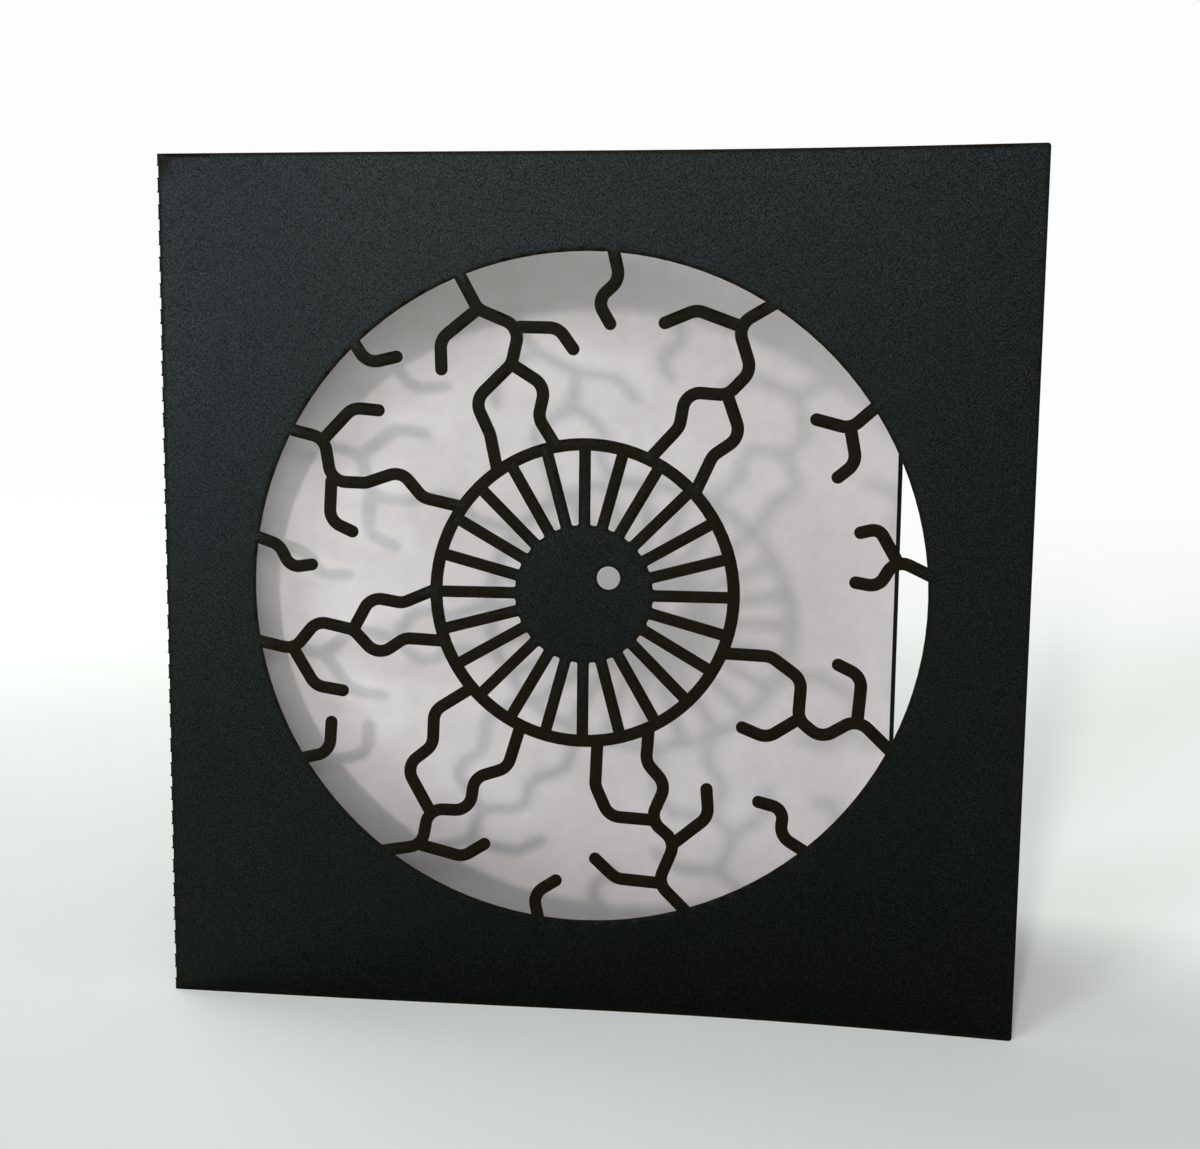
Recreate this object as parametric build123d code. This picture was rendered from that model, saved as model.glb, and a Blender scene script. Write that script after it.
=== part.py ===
from build123d import *
from math import floor, radians, tan
import os

# A square greeting card of black card stock, folded along a laser-cut perforation and standing
# a little open. A round window in its front panel holds an eye cut from the same sheet, and a
# white sheet for the greeting is glued inside its back panel.
# Lengths are in millimetres. X runs along the front panel from the fold to the free edge,
# Y from the viewer to the back, Z up. The card stands on Z = 0, centred on the origin.

# The sheet of card stock: two squares side by side, creased in the middle. The crease is a
# narrow flat between two sharp bends.
card_side = 133.35
card_thickness = 0.32
card_corner_radius = 0.5
opening_angle = 26.5
crease_inner_width = 0.22

# The perforation along the crease: slits with small bridges left between them
slit_length = 2.0
bridge_length = 2.0

# The window, centred on the front square, and the eye at its middle: a ring, and spokes that
# run from it to the pupil with a slot between each two
window_margin = 14.7
iris_radius = 24.0
ring_width = 1.9
pupil_radius = 10.7
spoke_count = 24
spoke_width = 1.8
slot_tip_radius = 0.3
highlight_radius = 1.8
highlight_right_share = 0.355
highlight_up_share = 0.243

# The veins: strokes of one width with round ends. Each place on a route is an angle in degrees,
# anticlockwise from the free edge's side, and a share of the way from the ring (0) to the
# window's rim (1). Strokes that join the ring or the rim run a little into it.
vein_width = 1.9
vein_bend_radius = 1.8
bend_run_share = 0.45

bridge_shares = [
    [(112, 1.05), (111, 0.80), (104, 0.64), (108, 0.46), (120, 0.36), (121, 0.16), (126, -0.04)],
    [(57, 1.05), (61, 0.82), (54, 0.66), (55, 0.48), (64, 0.38), (61, 0.20), (65, -0.04)],
    [(334, 1.05), (337, 0.78), (330, 0.66), (331, 0.50), (340, 0.42), (343, 0.22), (338, -0.04)],
    [(289, 1.05), (285, 0.82), (291, 0.62), (287, 0.46), (294, 0.30), (291, 0.14), (297, -0.04)],
    [(232, 1.05), (238, 0.86), (235, 0.66), (243, 0.54), (240, 0.36), (247, 0.22), (245, -0.04)],
    [(189, 1.05), (192, 0.82), (187, 0.66), (190, 0.46), (198, 0.36), (195, 0.18), (200, -0.04)],
    [(152, 1.05), (150, 0.82), (157, 0.68), (154, 0.50), (147, 0.36), (150, 0.18), (145, -0.04)],
]
side_leg_shares = [
    [(108, 0.46), (101, 0.30), (105, 0.14), (101, -0.04)],
    [(55, 0.48), (46, 0.36), (48, 0.18), (43, -0.04)],
    [(287, 0.46), (277, 0.40), (274, 0.22), (276, -0.04)],
    [(235, 0.66), (225, 0.56), (226, 0.36), (219, 0.22), (221, -0.04)],
    [(190, 0.46), (182, 0.34), (184, 0.16), (179, -0.04)],
]
twig_shares = [
    [(111, 0.80), (120, 0.74), (123, 0.60)],
    [(104, 0.64), (96, 0.60), (93, 0.48)],
    [(61, 0.82), (69, 0.80), (74, 0.68)],
    [(337, 0.78), (345, 0.72), (346, 0.58)],
    [(331, 0.50), (323, 0.42), (321, 0.28)],
    [(285, 0.82), (277, 0.76), (273, 0.64)],
    [(291, 0.62), (300, 0.56), (303, 0.42)],
    [(238, 0.86), (246, 0.80), (249, 0.68)],
    [(192, 0.82), (200, 0.76), (203, 0.62)],
    [(157, 0.68), (165, 0.62), (166, 0.48)],
    [(150, 0.82), (142, 0.78), (139, 0.66)],
]
stub_shares = [
    [(86, 1.05), (84, 0.86), (88, 0.74), (85, 0.62)],
    [(133, 1.05), (134, 0.88), (129, 0.80)],
    [(34, 1.05), (33, 0.84), (38, 0.72)],
    [(33, 0.84), (27, 0.78), (26, 0.66)],
    [(4, 1.05), (8, 0.84), (3, 0.74), (4, 0.62)],
    [(8, 0.84), (14, 0.78), (14, 0.68)],
    [(312, 1.05), (310, 0.86), (314, 0.76), (311, 0.64)],
    [(263, 1.05), (261, 0.88), (265, 0.78)],
    [(211, 1.05), (213, 0.86), (208, 0.76)],
    [(171, 1.05), (172, 0.88), (176, 0.80), (175, 0.68)],
]

# The white sheet inside
insert_thickness = 0.15
insert_margin = 1.2
insert_fold_margin = 3.0

# The folded sheet's middle line, seen from above, turns by the same angle at the crease's two
# bends. Each panel is a flat plate on a plane of its own, with local X from the crease to the
# free edge and local Y up.
bend_angle = (180 - opening_angle) / 2
crease_width = crease_inner_width + card_thickness * tan(radians(bend_angle) / 2)
panel_length = card_side - crease_width / 2
crease_heading = Vector(1, 0).rotate(Axis.Z, 180 - bend_angle)
back_heading = Vector(1, 0).rotate(Axis.Z, opening_angle)
front_plane = Plane.XZ
back_plane = Plane(
    origin=crease_heading * crease_width,
    x_dir=back_heading,
    z_dir=back_heading.rotate(Axis.Z, -90),
)


def plate(plane, outline):
    """Card stock of an outline, with its middle on a plane."""
    return extrude(plane.offset(-card_thickness / 2) * outline, amount=card_thickness)


def panel_outline():
    """A panel from the crease's bend to the free edge, whose two corners are rounded."""
    outline = Rectangle(panel_length, card_side, align=Align.MIN)
    return fillet(outline.vertices().sort_by(Axis.X)[-2:], card_corner_radius)


def perforated_crease():
    """The bridges of the crease, each lapping a little along both panels."""
    front_bend = front_plane.origin
    back_bend = back_plane.origin
    front_lap = front_bend + front_plane.x_dir * crease_width
    back_lap = back_bend + back_heading * crease_width
    middle_line = Polyline(front_lap, front_bend, back_bend, back_lap)
    crease = extrude(trace(middle_line, card_thickness), amount=card_side)

    pitch = slit_length + bridge_length
    slit_count = floor(card_side / pitch)
    first_slit = (card_side - slit_count * pitch + bridge_length) / 2
    slit_reach = 4 * (crease_width + card_thickness)
    slit = Box(slit_reach, slit_reach, slit_length, align=(Align.CENTER, Align.CENTER, Align.MIN))
    return crease - [Pos(Z=first_slit + i * pitch) * slit for i in range(slit_count)]


def vein(route_shares, window_radius):
    """A vein's stroke along a route. Each bend is as round as its runs allow."""
    points = []
    for angle, share in route_shares:
        radius = iris_radius + share * (window_radius - iris_radius)
        points.append(Vector(radius, 0).rotate(Axis.Z, angle))
    runs = [end - start for start, end in zip(points, points[1:])]
    bends = []
    for run, next_run in zip(runs, runs[1:]):
        room = bend_run_share * min(run.length, next_run.length)
        half_turn = radians(run.get_angle(next_run)) / 2
        bends.append(min(vein_bend_radius + vein_width / 2, room / tan(half_turn)))
    middle_line = FilletPolyline(*points, radius=bends)
    return Face(middle_line.offset_2d(vein_width / 2, kind=Kind.ARC))


def spoke_slots():
    """The slots between the spokes. They are drawn narrow and grown to size, which rounds their
    tips at the pupil, and end at the ring."""
    spoke = Rectangle(iris_radius, spoke_width + 2 * slot_tip_radius, align=(Align.MIN, Align.CENTER))
    slots = Circle(iris_radius) - Circle(pupil_radius + slot_tip_radius)
    slots -= PolarLocations(0, spoke_count) * spoke
    return offset(slots, amount=slot_tip_radius, kind=Kind.ARC) & Circle(iris_radius - ring_width)


def eye_cut():
    """All that is cut out of the window: the gaps round the veins, the slots between the spokes
    and the highlight in the pupil."""
    window_radius = card_side / 2 - window_margin
    routes = bridge_shares + side_leg_shares + twig_shares + stub_shares
    gaps = Circle(window_radius) - Circle(iris_radius) - [vein(route, window_radius) for route in routes]
    highlight_place = Pos(highlight_right_share * pupil_radius, highlight_up_share * pupil_radius)
    return gaps + spoke_slots() + highlight_place * Circle(highlight_radius)


def folded_card():
    """The whole sheet: the front panel with its eye, the back panel and the crease."""
    eye_place = Pos(panel_length - card_side / 2, card_side / 2)
    front = plate(front_plane, panel_outline() - eye_place * eye_cut())
    return front + plate(back_plane, panel_outline()) + perforated_crease()


def white_insert():
    """The sheet for the greeting, flat on the back panel's inner face."""
    width = panel_length - insert_fold_margin - insert_margin
    height = card_side - 2 * insert_margin
    outline = Pos(insert_fold_margin, insert_margin) * Rectangle(width, height, align=Align.MIN)
    return extrude(back_plane.offset(card_thickness / 2) * outline, amount=insert_thickness)


card = folded_card()
insert = white_insert()
middle = card.bounding_box().center()
to_origin = Pos(-middle.X, -middle.Y)

os.makedirs("parts", exist_ok=True)
export_step(to_origin * card, "parts/folded_card.step")
export_step(to_origin * insert, "parts/white_insert.step")
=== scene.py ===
from math import cos, floor, pi, radians, sin

import bmesh
import bpy
from mathutils import Euler, Matrix, Vector
from mathutils.bvhtree import BVHTree
from mathutils.geometry import area_tri, delaunay_2d_cdt


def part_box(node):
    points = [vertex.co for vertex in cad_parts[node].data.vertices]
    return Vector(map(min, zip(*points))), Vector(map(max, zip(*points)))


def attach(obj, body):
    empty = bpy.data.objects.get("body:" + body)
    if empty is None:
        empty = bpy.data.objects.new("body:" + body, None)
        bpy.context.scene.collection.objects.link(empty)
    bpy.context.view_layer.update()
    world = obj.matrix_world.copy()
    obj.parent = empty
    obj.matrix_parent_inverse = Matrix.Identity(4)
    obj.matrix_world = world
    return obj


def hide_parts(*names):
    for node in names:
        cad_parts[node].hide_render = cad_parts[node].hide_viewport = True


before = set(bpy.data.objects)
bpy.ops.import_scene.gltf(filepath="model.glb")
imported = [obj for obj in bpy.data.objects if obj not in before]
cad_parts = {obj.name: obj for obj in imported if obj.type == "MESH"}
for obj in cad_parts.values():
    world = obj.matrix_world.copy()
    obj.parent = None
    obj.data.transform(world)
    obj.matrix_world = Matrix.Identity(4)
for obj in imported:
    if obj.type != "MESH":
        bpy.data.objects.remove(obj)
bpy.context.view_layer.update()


# The folded card: one sheet of black card stock with the window and its eye cut out by laser.
# The laser has browned the cut edges and left them a little crushed. The front panel was pressed
# in when the card was folded, so it stands slightly hollow between the fold and its free edge.
mm = 0.001
card_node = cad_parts["folded_card"]
card_low, card_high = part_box("folded_card")
card_height = card_high.z - card_low.z
card_thickness = 0.32 * mm
front_inner_face = card_low.y + card_thickness

insert_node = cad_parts["white_insert"]
upward = Vector((0, 0, 1))
front_outside = Vector((0, -1, 0))
back_inside = min((face.normal for face in insert_node.data.polygons), key=lambda normal: normal.y).copy()

hollow_depth = 1.7 * mm
hollow_lean_share = 0.35

# The cut edges: the scorch, the smoke that browns a narrow stretch right across, and the crushing
scorch_width = 0.8 * mm
smoke_reach = 3 * mm
smoke_spread = radians(40)
smoke_stain = 0.8
crushed_depth = 0.03 * mm

# The mesh: its size, its grid's distance from the cuts, and what counts as one point, plane or direction
mesh_size = 3 * mm
grid_clearance = 1.2 * mm
same_place = 0.001 * mm
same_plane = 0.02 * mm
sliver_height = 0.0002 * mm
flat_share = 0.999
facing_share = 0.5
crease_angle = radians(30)


def front_hollow(x):
    """How far the front panel stands back at x. It is deepest past the middle, on the free side."""
    along = min(max((x - card_low.x) / (card_high.x - card_low.x), 0), 1)
    return hollow_depth * (sin(pi * along) - hollow_lean_share * sin(2 * pi * along))


def steps(low, high, size):
    """Evenly spaced places between low and high."""
    return [low + i * size for i in range(1, floor((high - low) / size))]


def broad_sides(sheet):
    """The four broad sides of the two panels, each as its normal, how far out it lies and its faces."""
    for normal in (front_outside, -front_outside, back_inside, -back_inside):
        flat_on = [face for face in sheet.faces if face.normal.dot(normal) > flat_share]
        depth = max(flat_on, key=lambda face: face.calc_area()).verts[0].co.dot(normal)
        level = {corner for corner in sheet.verts if abs(corner.co.dot(normal) - depth) < same_plane}
        facing = [face for face in sheet.faces if face.normal.dot(normal) > facing_share]
        yield normal, depth, [face for face in facing if level.issuperset(face.verts)]


def inner_rim(faces, flat):
    """A side's rim: each edge's way in from the cut, each corner's place a scorch's width in."""
    uses = {}
    for face in faces:
        for edge in face.edges:
            uses.setdefault(edge, []).append(face)
    rim = {}
    inward = {}
    for edge, users in uses.items():
        if len(users) > 1:
            continue
        start, end = (flat[corner] for corner in edge.verts)
        run = (end - start).normalized()
        towards = sum((flat[corner] for corner in users[0].verts), Vector()) / len(users[0].verts) - start
        rim[edge] = (towards - run * towards.dot(run)).normalized()
        for corner in edge.verts:
            inward.setdefault(corner, []).append(rim[edge])
    # A mitre: a scorch's width from both edges, and at a sharp corner no more than twice that
    inner = {}
    for corner, directions in inward.items():
        lean = sum(directions, Vector())
        inner[corner] = flat[corner] + lean * 2 * scorch_width / max(lean.length_squared, 1)
    return rim, inner


def sliver(triangle):
    """Whether a triangle is only a line."""
    first, second, third = triangle
    longest = max((first - second).length, (second - third).length, (third - first).length)
    return 2 * area_tri(first, second, third) < longest * sliver_height


def remesh_side(sheet, normal, depth, faces, scorch):
    """Gives a broad side an even mesh, with a narrow scorched and crushed rim along its cut edges."""
    across = upward.cross(normal)
    flat = {}
    for face in faces:
        for corner in face.verts:
            flat[corner] = Vector((corner.co.dot(across), corner.co.dot(upward), 0))
    number = {corner: i for i, corner in enumerate(flat)}
    outlines = [[number[corner] for corner in face.verts] for face in faces]
    solid = BVHTree.FromPolygons(list(flat.values()), outlines)
    rim, inner = inner_rim(faces, flat)
    corners = list(inner)
    number = {corner: i for i, corner in enumerate(corners)}

    def on_sheet(place):
        return solid.find_nearest(place, same_plane)[0] is not None

    def smoked(corner):
        """Whether the sheet is so narrow here that the laser's smoke has browned it right across."""
        way_in = (inner[corner] - flat[corner]).normalized() * smoke_reach
        ahead, left, right = (
            on_sheet(flat[corner] + Matrix.Rotation(turn, 3, "Z") @ way_in)
            for turn in (0, smoke_spread, -smoke_spread)
        )
        return not ahead or not (left or right)

    stains = [1] * len(corners) + [smoke_stain if smoked(corner) else 0 for corner in corners]
    places = [flat[corner] for corner in corners] + [inner[corner] for corner in corners]
    lines = []
    for edge in rim:
        start, end = (number[corner] for corner in edge.verts)
        lines += [(start, end), (start + len(corners), end + len(corners))]
    probes = [Vector(way) * grid_clearance for way in ((1, 0, 0), (-1, 0, 0), (0, 1, 0), (0, -1, 0))]
    for u in steps(min(place.x for place in places), max(place.x for place in places), mesh_size):
        for v in steps(min(place.y for place in places), max(place.y for place in places), mesh_size):
            place = Vector((u, v, 0))
            if all(on_sheet(place + probe) for probe in probes):
                places.append(place)

    spots, _, triangles, sources, _, _ = delaunay_2d_cdt(
        [place.to_2d() for place in places], lines, [], 0, same_place
    )
    on_rim = [min((i for i in found if i < len(corners)), default=None) for found in sources]
    ways_in = {frozenset(number[corner] for corner in edge.verts): way_in for edge, way_in in rim.items()}

    def belongs(triangle):
        """Whether a triangle is part of the sheet: on the inner side of the cuts, and not only a line."""
        shape = [spots[i].to_3d() for i in triangle]
        middle = sum(shape, Vector()) / 3
        for a, b in ((0, 1), (1, 2), (2, 0)):
            way_in = ways_in.get(frozenset((on_rim[triangle[a]], on_rim[triangle[b]])))
            if way_in and way_in.dot(middle - shape[a]) < 0:
                return False
        return on_sheet(middle) and not sliver(shape)

    kept = [triangle for triangle in triangles if belongs(triangle)]
    bmesh.ops.delete(sheet, geom=faces, context="FACES")
    made = {}
    for i in {i for triangle in kept for i in triangle}:
        if on_rim[i] is not None:
            made[i] = corners[on_rim[i]]
        else:
            made[i] = sheet.verts.new(across * spots[i].x + upward * spots[i].y + normal * depth)
            made[i][scorch] = max((stains[j] for j in sources[i] if j < len(stains)), default=0)
    for triangle in kept:
        sheet.faces.new([made[i] for i in triangle])
    for corner in corners:
        corner[scorch] = 1
        corner.co -= normal * crushed_depth


def refined_card():
    """The sheet with an even mesh that can bend, its cut edges scorched, its front panel hollow."""
    sheet = bmesh.new()
    sheet.from_mesh(card_node.data)
    scorch = sheet.verts.layers.float.new("scorch")
    bmesh.ops.remove_doubles(sheet, verts=sheet.verts, dist=same_place)
    for x in steps(card_low.x, card_high.x, mesh_size):
        everything = sheet.verts[:] + sheet.edges[:] + sheet.faces[:]
        bmesh.ops.bisect_plane(
            sheet, geom=everything, plane_co=(x, 0, 0), plane_no=(1, 0, 0), dist=same_place
        )
    sheet.normal_update()
    for normal, depth, faces in list(broad_sides(sheet)):
        remesh_side(sheet, normal, depth, faces, scorch)

    for corner in sheet.verts:
        if corner.co.y < front_inner_face + same_place:
            corner.co.y += front_hollow(corner.co.x)
    mesh = bpy.data.meshes.new("folded_card_sheet")
    sheet.to_mesh(mesh)
    sheet.free()
    mesh.shade_smooth()
    mesh.set_sharp_from_angle(angle=crease_angle)
    return mesh


def linear(colour):
    """An sRGB hex colour as linear RGBA."""
    channels = [int(colour[i : i + 2], 16) / 255 for i in (1, 3, 5)]
    return [c / 12.92 if c <= 0.04045 else ((c + 0.055) / 1.055) ** 2.4 for c in channels] + [1]


def add_node(tree, kind, sockets=None, **settings):
    """A node with its settings. Each socket gets a value, or a link from another node's output."""
    added = tree.nodes.new(kind)
    for name, value in settings.items():
        setattr(added, name, value)
    for name, value in (sockets or {}).items():
        if isinstance(value, bpy.types.NodeSocket):
            tree.links.new(value, added.inputs[name])
        else:
            added.inputs[name].default_value = value
    return added


def new_material(name):
    """An empty node material with its output."""
    material = bpy.data.materials.new(name)
    material.use_nodes = True
    material.node_tree.nodes.clear()
    return material, material.node_tree, material.node_tree.nodes.new("ShaderNodeOutputMaterial")


# Uncoated black card stock, dyed in the pulp and laser cut: a deep matte black with a faint cool bloom,
# a felt of short fibres, drawn coarser than real ones so that they show, and brown-black cut edges.
# The noise behind the felt is turned askew, since noise square to a bent panel shows as bands.
felt_size = 0.2 * mm
felt_turns = (radians(35), radians(25), radians(40))
felt_colours = ((0.45, "#010101"), (0.68, "#1a1e1d"))
felt_sheen = (0.06, 0.2)
bloom_colour = "#e6f9fb"
felt_roughness = (0.38, 0.28)
fibre_width = 0.2 * mm
fibre_length = 1.5 * mm
fibre_height = 0.03 * mm
fibre_turns = (radians(20), radians(-35), radians(80))
fibre_roll = radians(35)
cloud_size = 14 * mm
cloud_colour = "#040605"
char_colours = ((0.35, "#080602"), (0.7, "#211d11"))
char_sheen = 0.03


def black_card_stock():
    material, tree, output = new_material("uncoated_black_card_stock")
    place = add_node(tree, "ShaderNodeTexCoord").outputs["Object"]
    clouds = add_node(
        tree, "ShaderNodeTexNoise", {"Vector": place, "Scale": 1 / cloud_size, "Detail": 3}
    ).outputs["Fac"]
    askew = add_node(tree, "ShaderNodeMapping", {"Vector": place, "Rotation": felt_turns}).outputs["Vector"]
    felt = add_node(
        tree,
        "ShaderNodeTexNoise",
        {"Vector": askew, "Scale": 1 / felt_size, "Detail": 2, "Roughness": 0.7},
    ).outputs["Fac"]
    fibres = 0
    for turn in fibre_turns:
        laid = add_node(
            tree,
            "ShaderNodeMapping",
            {
                "Vector": place,
                "Rotation": (fibre_roll, turn, 0),
                "Scale": (fibre_length, fibre_width, fibre_width),
            },
            vector_type="TEXTURE",
        ).outputs["Vector"]
        strands = add_node(tree, "ShaderNodeTexNoise", {"Vector": laid, "Scale": 1, "Detail": 1})
        fibres = add_node(
            tree, "ShaderNodeMath", {0: fibres, 1: strands.outputs["Fac"]}, operation="MAXIMUM"
        ).outputs[0]

    tone = add_node(tree, "ShaderNodeValToRGB", {"Fac": felt})
    char = add_node(tree, "ShaderNodeValToRGB", {"Fac": felt})
    for ramp, colours in ((tone, felt_colours), (char, char_colours)):
        for stop, (position, colour) in zip(ramp.color_ramp.elements, colours):
            stop.position = position
            stop.color = linear(colour)
    worn = add_node(
        tree,
        "ShaderNodeMix",
        {"Factor": clouds, "A": tone.outputs["Color"], "B": linear(cloud_colour)},
        data_type="RGBA",
    )
    scorch = add_node(tree, "ShaderNodeAttribute", attribute_name="scorch").outputs["Fac"]
    charred = add_node(
        tree,
        "ShaderNodeMapRange",
        {"Value": scorch, "From Min": 0, "From Max": smoke_stain},
        interpolation_type="SMOOTHSTEP",
    ).outputs["Result"]
    blackened = add_node(
        tree,
        "ShaderNodeMix",
        {"Factor": charred, "A": worn.outputs["Result"], "B": char.outputs["Color"]},
        data_type="RGBA",
    )
    least, most = felt_sheen
    speckle = add_node(
        tree,
        "ShaderNodeMapRange",
        {"Value": felt, "From Min": 0.4, "From Max": 0.6, "To Min": least, "To Max": most},
    ).outputs["Result"]
    sheen = add_node(
        tree, "ShaderNodeMapRange", {"Value": charred, "To Min": speckle, "To Max": char_sheen}
    )
    relief = add_node(tree, "ShaderNodeMath", {0: felt, 1: fibres}, operation="ADD").outputs[0]
    bump = add_node(tree, "ShaderNodeBump", {"Height": relief, "Strength": 1, "Distance": fibre_height})
    least, most = felt_roughness
    gloss = add_node(
        tree,
        "ShaderNodeMapRange",
        {"Value": felt, "From Min": 0.3, "From Max": 0.7, "To Min": least, "To Max": most},
    )
    shader = add_node(
        tree,
        "ShaderNodeBsdfPrincipled",
        {
            "Base Color": blackened.outputs["Result"],
            "Roughness": gloss.outputs["Result"],
            "IOR": 1.45,
            "Specular IOR Level": sheen.outputs["Result"],
            "Specular Tint": linear(bloom_colour),
            "Normal": bump.outputs["Normal"],
        },
    )
    tree.links.new(shader.outputs["BSDF"], output.inputs["Surface"])
    return material


card_stock = black_card_stock()
folded_card = bpy.data.objects.new("folded_card_sheet", refined_card())
bpy.context.collection.objects.link(folded_card)
folded_card.data.materials.append(card_stock)
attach(folded_card, "root")
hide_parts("folded_card")


# The scorched beads of the perforation: where the laser starts and stops each slit of the fold, it
# leaves a small charred swelling of fibres on the outside of the crease.
# They repeat along the fold, two to a slit, and no two are quite alike.
slit_pitch = 4 * mm
slit_length = 2 * mm
bead_size = 0.3 * mm
bead_inset = bead_size / 4
bead_unevenness = 0.35


def new_tree(name, inputs, result):
    """An empty tree of geometry nodes, with the outputs and the identifiers of its given values."""
    tree = bpy.data.node_groups.new(name, "GeometryNodeTree")
    identifiers = {}
    for label, kind in inputs.items():
        socket = tree.interface.new_socket(label, in_out="INPUT", socket_type="NodeSocket" + kind)
        identifiers[label] = socket.identifier
    tree.interface.new_socket(result, in_out="OUTPUT", socket_type="NodeSocketGeometry")
    return tree, add_node(tree, "NodeGroupInput").outputs, identifiers


def finish_tree(tree, grown_mesh, material, result):
    """Ends a tree: its instances become one mesh, with its material."""
    solid = add_node(tree, "GeometryNodeRealizeInstances", {"Geometry": grown_mesh}).outputs["Geometry"]
    finished = add_node(tree, "GeometryNodeSetMaterial", {"Geometry": solid, "Material": material})
    add_node(tree, "NodeGroupOutput", {result: finished.outputs["Geometry"]})


def bead_tree():
    """Nodes that set beads along an upright line, two for each slit."""
    inputs = {
        "Pitch": "Float",
        "Slit length": "Float",
        "First slit": "Vector",
        "Slits": "Int",
        "Bead size": "Float",
        "Unevenness": "Float",
        "Material": "Material",
    }
    tree, given, identifiers = new_tree("scorched_beads", inputs, "Beads")
    step = add_node(tree, "ShaderNodeCombineXYZ", {"Z": given["Pitch"]}).outputs[0]
    slit_reach = add_node(tree, "ShaderNodeCombineXYZ", {"Z": given["Slit length"]}).outputs[0]
    slit_end = add_node(
        tree, "ShaderNodeVectorMath", {0: given["First slit"], 1: slit_reach}, operation="ADD"
    ).outputs[0]
    rows = add_node(tree, "GeometryNodeJoinGeometry")
    for start in (given["First slit"], slit_end):
        row = add_node(
            tree, "GeometryNodeMeshLine", {"Count": given["Slits"], "Start Location": start, "Offset": step}
        ).outputs["Mesh"]
        tree.links.new(row, rows.inputs["Geometry"])
    bead = add_node(tree, "GeometryNodeMeshIcoSphere", {"Radius": 0.5, "Subdivisions": 2}).outputs["Mesh"]
    least = add_node(
        tree, "ShaderNodeMath", {0: 1, 1: given["Unevenness"]}, operation="SUBTRACT"
    ).outputs[0]
    most = add_node(tree, "ShaderNodeMath", {0: 1, 1: given["Unevenness"]}, operation="ADD").outputs[0]
    shape = add_node(
        tree,
        "FunctionNodeRandomValue",
        {"Min": least, "Max": most, "Seed": 7},
        data_type="FLOAT_VECTOR",
    ).outputs["Value"]
    size = add_node(
        tree, "ShaderNodeVectorMath", {0: shape, "Scale": given["Bead size"]}, operation="SCALE"
    ).outputs[0]
    set_beads = add_node(
        tree,
        "GeometryNodeInstanceOnPoints",
        {"Points": rows.outputs["Geometry"], "Instance": bead, "Scale": size},
    ).outputs["Instances"]
    finish_tree(tree, set_beads, given["Material"], "Beads")
    return tree, identifiers


def grown(name, tree, identifiers, values):
    """The plain mesh object that a node tree grows from its input values."""
    seed_object = bpy.data.objects.new(name + "_seed", bpy.data.meshes.new(name + "_seed"))
    bpy.context.collection.objects.link(seed_object)
    modifier = seed_object.modifiers.new(name, "NODES")
    modifier.node_group = tree
    for label, value in values.items():
        modifier[identifiers[label]] = value
    evaluated = seed_object.evaluated_get(bpy.context.evaluated_depsgraph_get())
    mesh = bpy.data.meshes.new_from_object(evaluated)
    bpy.data.objects.remove(seed_object)
    mesh.name = name
    made = bpy.data.objects.new(name, mesh)
    bpy.context.collection.objects.link(made)
    return made


slit_count = floor(card_height / slit_pitch)
first_slit_height = (card_height - slit_count * slit_pitch + slit_pitch - slit_length) / 2
first_bead = Vector((card_low.x + bead_inset, front_inner_face, first_slit_height))
beads = grown(
    "scorched_beads",
    *bead_tree(),
    {
        "Pitch": slit_pitch,
        "Slit length": slit_length,
        "First slit": first_bead,
        "Slits": slit_count,
        "Bead size": bead_size,
        "Unevenness": bead_unevenness,
        "Material": card_stock,
    },
)
bead_scorch = beads.data.attributes.new("scorch", "FLOAT", "POINT")
bead_scorch.data.foreach_set("value", [1.0] * len(beads.data.vertices))
beads.data.shade_smooth()
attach(beads, "root")


# The white sheet for the greeting: uncoated printing paper, glued by its edges to the inside of the
# back panel. The damp of the glue has left it slightly cockled, so it lifts in long low waves.
heading = upward.cross(back_inside)
insert_corners = [corner.co for corner in insert_node.data.vertices]
insert_middle = sum(insert_corners, Vector()) / len(insert_corners)


def reach(direction):
    """How far the white sheet's solid reaches along a direction."""
    places = [corner.dot(direction) for corner in insert_corners]
    return max(places) - min(places)


cockle_lift = 0.4 * mm
cockle_size = 38 * mm
cockle_rows = 120


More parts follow.
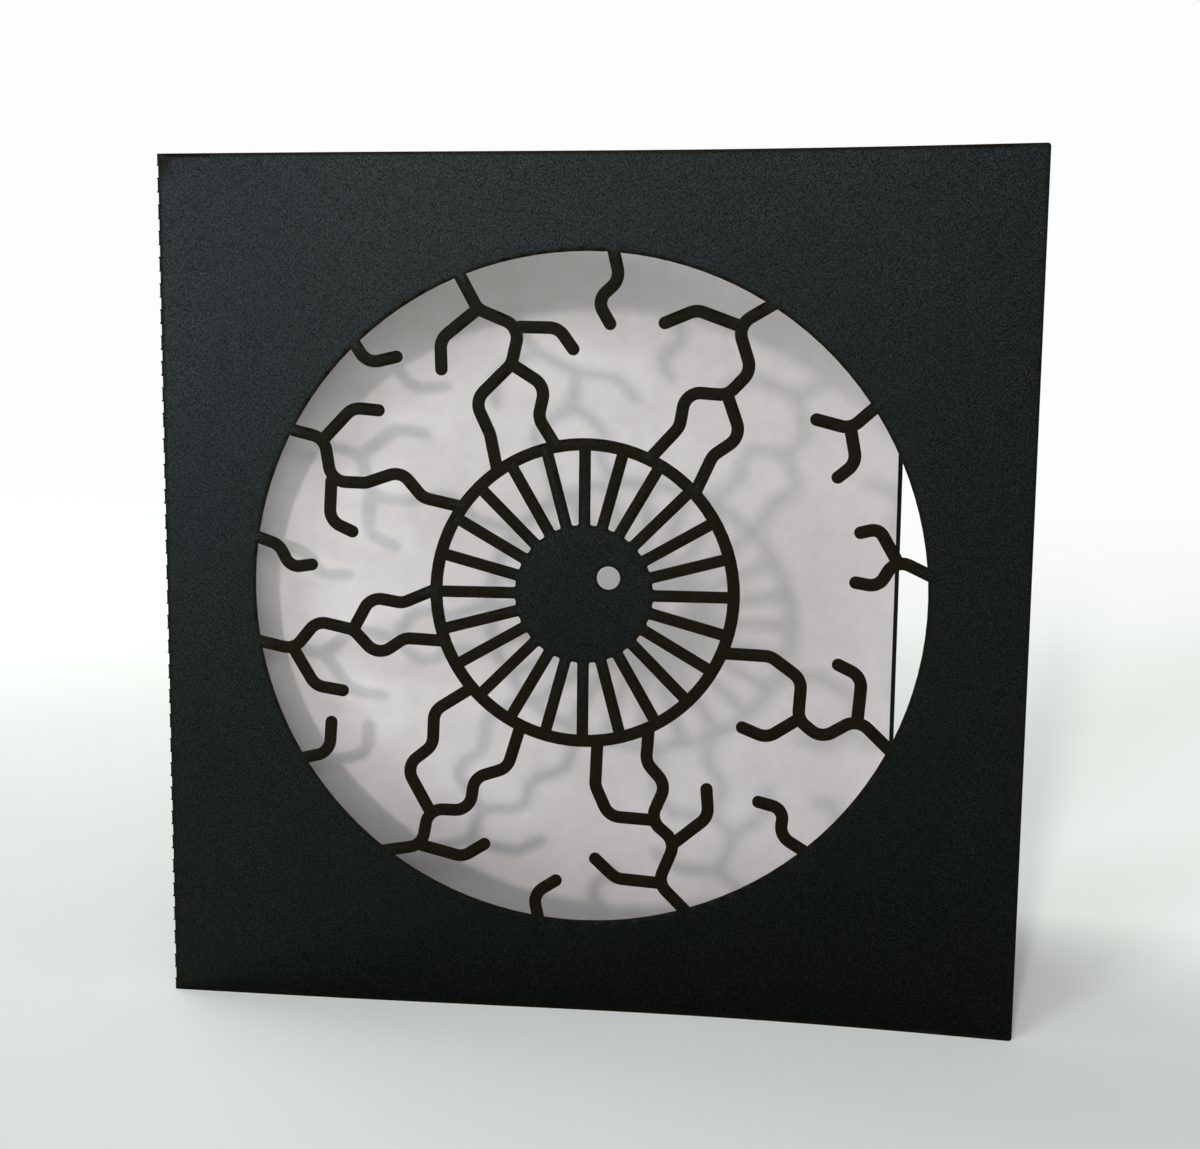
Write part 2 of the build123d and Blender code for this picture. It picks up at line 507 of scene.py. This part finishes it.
def cockled_sheet_tree():
    """Nodes that make a thin closed sheet, lying on its back, with its face lifted in low waves."""
    inputs = {
        "Width": "Float",
        "Height": "Float",
        "Thickness": "Float",
        "Lift": "Float",
        "Wave size": "Float",
        "Rows": "Int",
        "Material": "Material",
    }
    tree, given, identifiers = new_tree("cockled_sheet", inputs, "Sheet")
    grid = add_node(
        tree,
        "GeometryNodeMeshGrid",
        {
            "Size X": given["Width"],
            "Size Y": given["Height"],
            "Vertices X": given["Rows"],
            "Vertices Y": given["Rows"],
        },
    ).outputs["Mesh"]
    place = add_node(tree, "GeometryNodeInputPosition").outputs["Position"]
    fineness = add_node(
        tree, "ShaderNodeMath", {0: 1, 1: given["Wave size"]}, operation="DIVIDE"
    ).outputs[0]
    wave = add_node(
        tree, "ShaderNodeTexNoise", {"Vector": place, "Scale": fineness, "Detail": 0}
    ).outputs["Fac"]
    rise = add_node(tree, "ShaderNodeMath", {0: wave, 1: given["Lift"]}, operation="MULTIPLY").outputs[0]
    lifted = add_node(
        tree,
        "GeometryNodeSetPosition",
        {"Geometry": grid, "Offset": add_node(tree, "ShaderNodeCombineXYZ", {"Z": rise}).outputs[0]},
    ).outputs["Geometry"]
    face = add_node(
        tree,
        "GeometryNodeExtrudeMesh",
        {
            "Mesh": lifted,
            "Offset": add_node(tree, "ShaderNodeCombineXYZ", {"Z": given["Thickness"]}).outputs[0],
            "Individual": False,
        },
    ).outputs["Mesh"]
    underside = add_node(tree, "GeometryNodeFlipFaces", {"Mesh": lifted}).outputs["Mesh"]
    both = add_node(tree, "GeometryNodeJoinGeometry")
    for side in (face, underside):
        tree.links.new(side, both.inputs["Geometry"])
    closed = add_node(
        tree, "GeometryNodeMergeByDistance", {"Geometry": both.outputs["Geometry"], "Distance": same_place}
    ).outputs["Geometry"]
    finish_tree(tree, closed, given["Material"], "Sheet")
    return tree, identifiers


# Uncoated white paper, about 120 g/m2. To the eye it is a dull warm white with a barely visible
# cloudiness of fibres when light falls through or across it.
formation_size = 3.5 * mm
paper_colours = ((0.3, "#e6e0df"), (0.7, "#eee7e8"))
tooth_size = 0.5 * mm
tooth_height = 0.012 * mm


def white_paper():
    material, tree, output = new_material("uncoated_white_paper")
    place = add_node(tree, "ShaderNodeTexCoord").outputs["Object"]
    clouds = add_node(
        tree,
        "ShaderNodeTexNoise",
        {"Vector": place, "Scale": 1 / formation_size, "Detail": 4, "Roughness": 0.6},
    ).outputs["Fac"]
    tooth = add_node(
        tree, "ShaderNodeTexNoise", {"Vector": place, "Scale": 1 / tooth_size, "Detail": 3}
    ).outputs["Fac"]
    tone = add_node(tree, "ShaderNodeValToRGB", {"Fac": clouds})
    for stop, (position, colour) in zip(tone.color_ramp.elements, paper_colours):
        stop.position = position
        stop.color = linear(colour)
    bump = add_node(tree, "ShaderNodeBump", {"Height": tooth, "Strength": 0.6, "Distance": tooth_height})
    shader = add_node(
        tree,
        "ShaderNodeBsdfPrincipled",
        {
            "Base Color": tone.outputs["Color"],
            "Roughness": 0.85,
            "IOR": 1.45,
            "Specular IOR Level": 0.3,
            "Normal": bump.outputs["Normal"],
        },
    )
    tree.links.new(shader.outputs["BSDF"], output.inputs["Surface"])
    return material


white_insert = grown(
    "white_insert_sheet",
    *cockled_sheet_tree(),
    {
        "Width": reach(heading),
        "Height": reach(upward),
        "Thickness": reach(back_inside),
        "Lift": cockle_lift,
        "Wave size": cockle_size,
        "Rows": cockle_rows,
        "Material": white_paper(),
    },
)
sheet_back = insert_middle - back_inside * reach(back_inside) / 2
turned = Matrix((heading, upward, back_inside)).transposed().to_4x4()
white_insert.data.transform(Matrix.Translation(sheet_back) @ turned)
white_insert.data.shade_smooth()
white_insert.data.set_sharp_from_angle(angle=crease_angle)
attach(white_insert, "root")
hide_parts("white_insert")


# The floor and backdrop: one sheet of matte white paper that runs back from the card and sweeps up
# behind it in a wide curve. It is the stage, and not part of the card.
floor_reach = 1.6
sweep_start = 0.42
sweep_radius = 0.35
backdrop_height = 1.4
sweep_steps = 24
paper_cloud_size = 60 * mm
plain_white = "#fcfdfd"

# The camera sees the sheet fade to plain white between these distances, behind the card and all round
fade_behind = (0.3, 0.62)
fade_around = (0.5, 0.95)


def sweep_mesh():
    """A floor that turns up into a wall through a quarter circle."""
    profile = [(-floor_reach, 0), (sweep_start, 0)]
    for step in range(1, sweep_steps + 1):
        turn = pi / 2 * step / sweep_steps
        profile.append((sweep_start + sweep_radius * sin(turn), sweep_radius * (1 - cos(turn))))
    profile.append((sweep_start + sweep_radius, backdrop_height))
    corners = [(side * floor_reach, y, z) for y, z in profile for side in (-1, 1)]
    faces = [(i, i + 1, i + 3, i + 2) for i in range(0, len(corners) - 2, 2)]
    mesh = bpy.data.meshes.new("floor")
    mesh.from_pydata(corners, [], faces)
    mesh.shade_smooth()
    return mesh


def matte_white_paper():
    material, tree, output = new_material("matte_white_paper_backdrop")
    place = add_node(tree, "ShaderNodeTexCoord").outputs["Object"]
    clouds = add_node(
        tree, "ShaderNodeTexNoise", {"Vector": place, "Scale": 1 / paper_cloud_size, "Detail": 3}
    ).outputs["Fac"]
    tone = add_node(
        tree,
        "ShaderNodeMix",
        {"Factor": clouds, "A": linear("#e2e5e1"), "B": linear("#e6e8e4")},
        data_type="RGBA",
    ).outputs["Result"]
    paper = add_node(tree, "ShaderNodeBsdfDiffuse", {"Color": tone, "Roughness": 1})
    bright = add_node(tree, "ShaderNodeEmission", {"Color": linear(plain_white), "Strength": 1})
    light_path = add_node(tree, "ShaderNodeLightPath").outputs
    seen = 0
    for ray in ("Is Camera Ray", "Is Glossy Ray", "Is Transmission Ray"):
        seen = add_node(
            tree, "ShaderNodeMath", {0: seen, 1: light_path[ray]}, operation="MAXIMUM"
        ).outputs[0]
    behind = add_node(tree, "ShaderNodeSeparateXYZ", {"Vector": place}).outputs["Y"]
    away = add_node(tree, "ShaderNodeVectorMath", {0: place}, operation="LENGTH").outputs["Value"]
    faded = 0
    for distance, (near, far) in ((behind, fade_behind), (away, fade_around)):
        fade = add_node(
            tree,
            "ShaderNodeMapRange",
            {"Value": distance, "From Min": near, "From Max": far},
            interpolation_type="SMOOTHSTEP",
        ).outputs["Result"]
        faded = add_node(tree, "ShaderNodeMath", {0: faded, 1: fade}, operation="MAXIMUM").outputs[0]
    share = add_node(tree, "ShaderNodeMath", {0: seen, 1: faded}, operation="MULTIPLY").outputs[0]
    mixed = add_node(
        tree, "ShaderNodeMixShader", {"Fac": share, 1: paper.outputs["BSDF"], 2: bright.outputs["Emission"]}
    )
    tree.links.new(mixed.outputs["Shader"], output.inputs["Surface"])
    return material


backdrop = bpy.data.objects.new("floor", sweep_mesh())
backdrop.data.materials.append(matte_white_paper())
bpy.context.collection.objects.link(backdrop)


# The light: a small lamp in front, a little to the left and above, which throws the eye's shadow on
# the white sheet, a tall soft window at the left, a long strip above that gives the black its sheen,
# a soft light behind and to the left, and an even pale room all round.
card_middle = (card_low + card_high) / 2


def add_lamp(name, direction, distance, size, power, colour):
    """An oblong lamp at a distance from the card's middle, turned to face it."""
    lamp = bpy.data.lights.new(name, "AREA")
    lamp.shape = "RECTANGLE"
    lamp.size, lamp.size_y = size
    lamp.energy = power
    lamp.color = linear(colour)[:3]
    lamp_object = bpy.data.objects.new(name, lamp)
    towards_lamp = Vector(direction).normalized()
    lamp_object.location = card_middle + towards_lamp * distance
    lamp_object.rotation_euler = (-towards_lamp).to_track_quat("-Z", "Y").to_euler()
    bpy.context.collection.objects.link(lamp_object)


add_lamp(
    "front_lamp", direction=(-0.18, -1, 0.23), distance=1.4, size=(0.08, 0.08), power=4.4, colour="#fffcf9"
)
add_lamp(
    "left_window", direction=(-0.65, -1, 0), distance=1, size=(0.25, 0.6), power=5.4, colour="#f2f8ff"
)
add_lamp(
    "top_strip", direction=(0.05, -1, 0.42), distance=1, size=(1, 0.15), power=1.9, colour="#f2f8ff"
)
add_lamp(
    "back_light", direction=(-1.2, 0.75, 0.9), distance=0.85, size=(0.7, 0.5), power=9.8, colour="#fafffc"
)

room_strength = 0.34
room = bpy.data.worlds.new("pale_room")
room.use_nodes = True
room.node_tree.nodes.clear()
seen_directly = add_node(room.node_tree, "ShaderNodeLightPath").outputs["Is Camera Ray"]
brightness = add_node(
    room.node_tree, "ShaderNodeMapRange", {"Value": seen_directly, "To Min": room_strength, "To Max": 1}
).outputs["Result"]
pale_light = add_node(
    room.node_tree, "ShaderNodeBackground", {"Color": linear(plain_white), "Strength": brightness}
).outputs["Background"]
add_node(room.node_tree, "ShaderNodeOutputWorld", {"Surface": pale_light})
bpy.context.scene.world = room


# The camera: at the photograph's place, found from the front panel's four edges and the window.
# Its place is in millimetres of the frame, and its turns are in degrees.
camera = bpy.data.cameras.new("camera")
camera.lens = 42.47
camera.clip_start = 0.01
camera_object = bpy.data.objects.new("camera", camera)
camera_object.location = Vector((29.2, -243.0, 93.7)) * mm
camera_object.rotation_euler = Euler((radians(83.7), radians(-0.63), radians(7.15)))
bpy.context.collection.objects.link(camera_object)
bpy.context.scene.camera = camera_object
bpy.context.scene.view_settings.view_transform = "Standard"
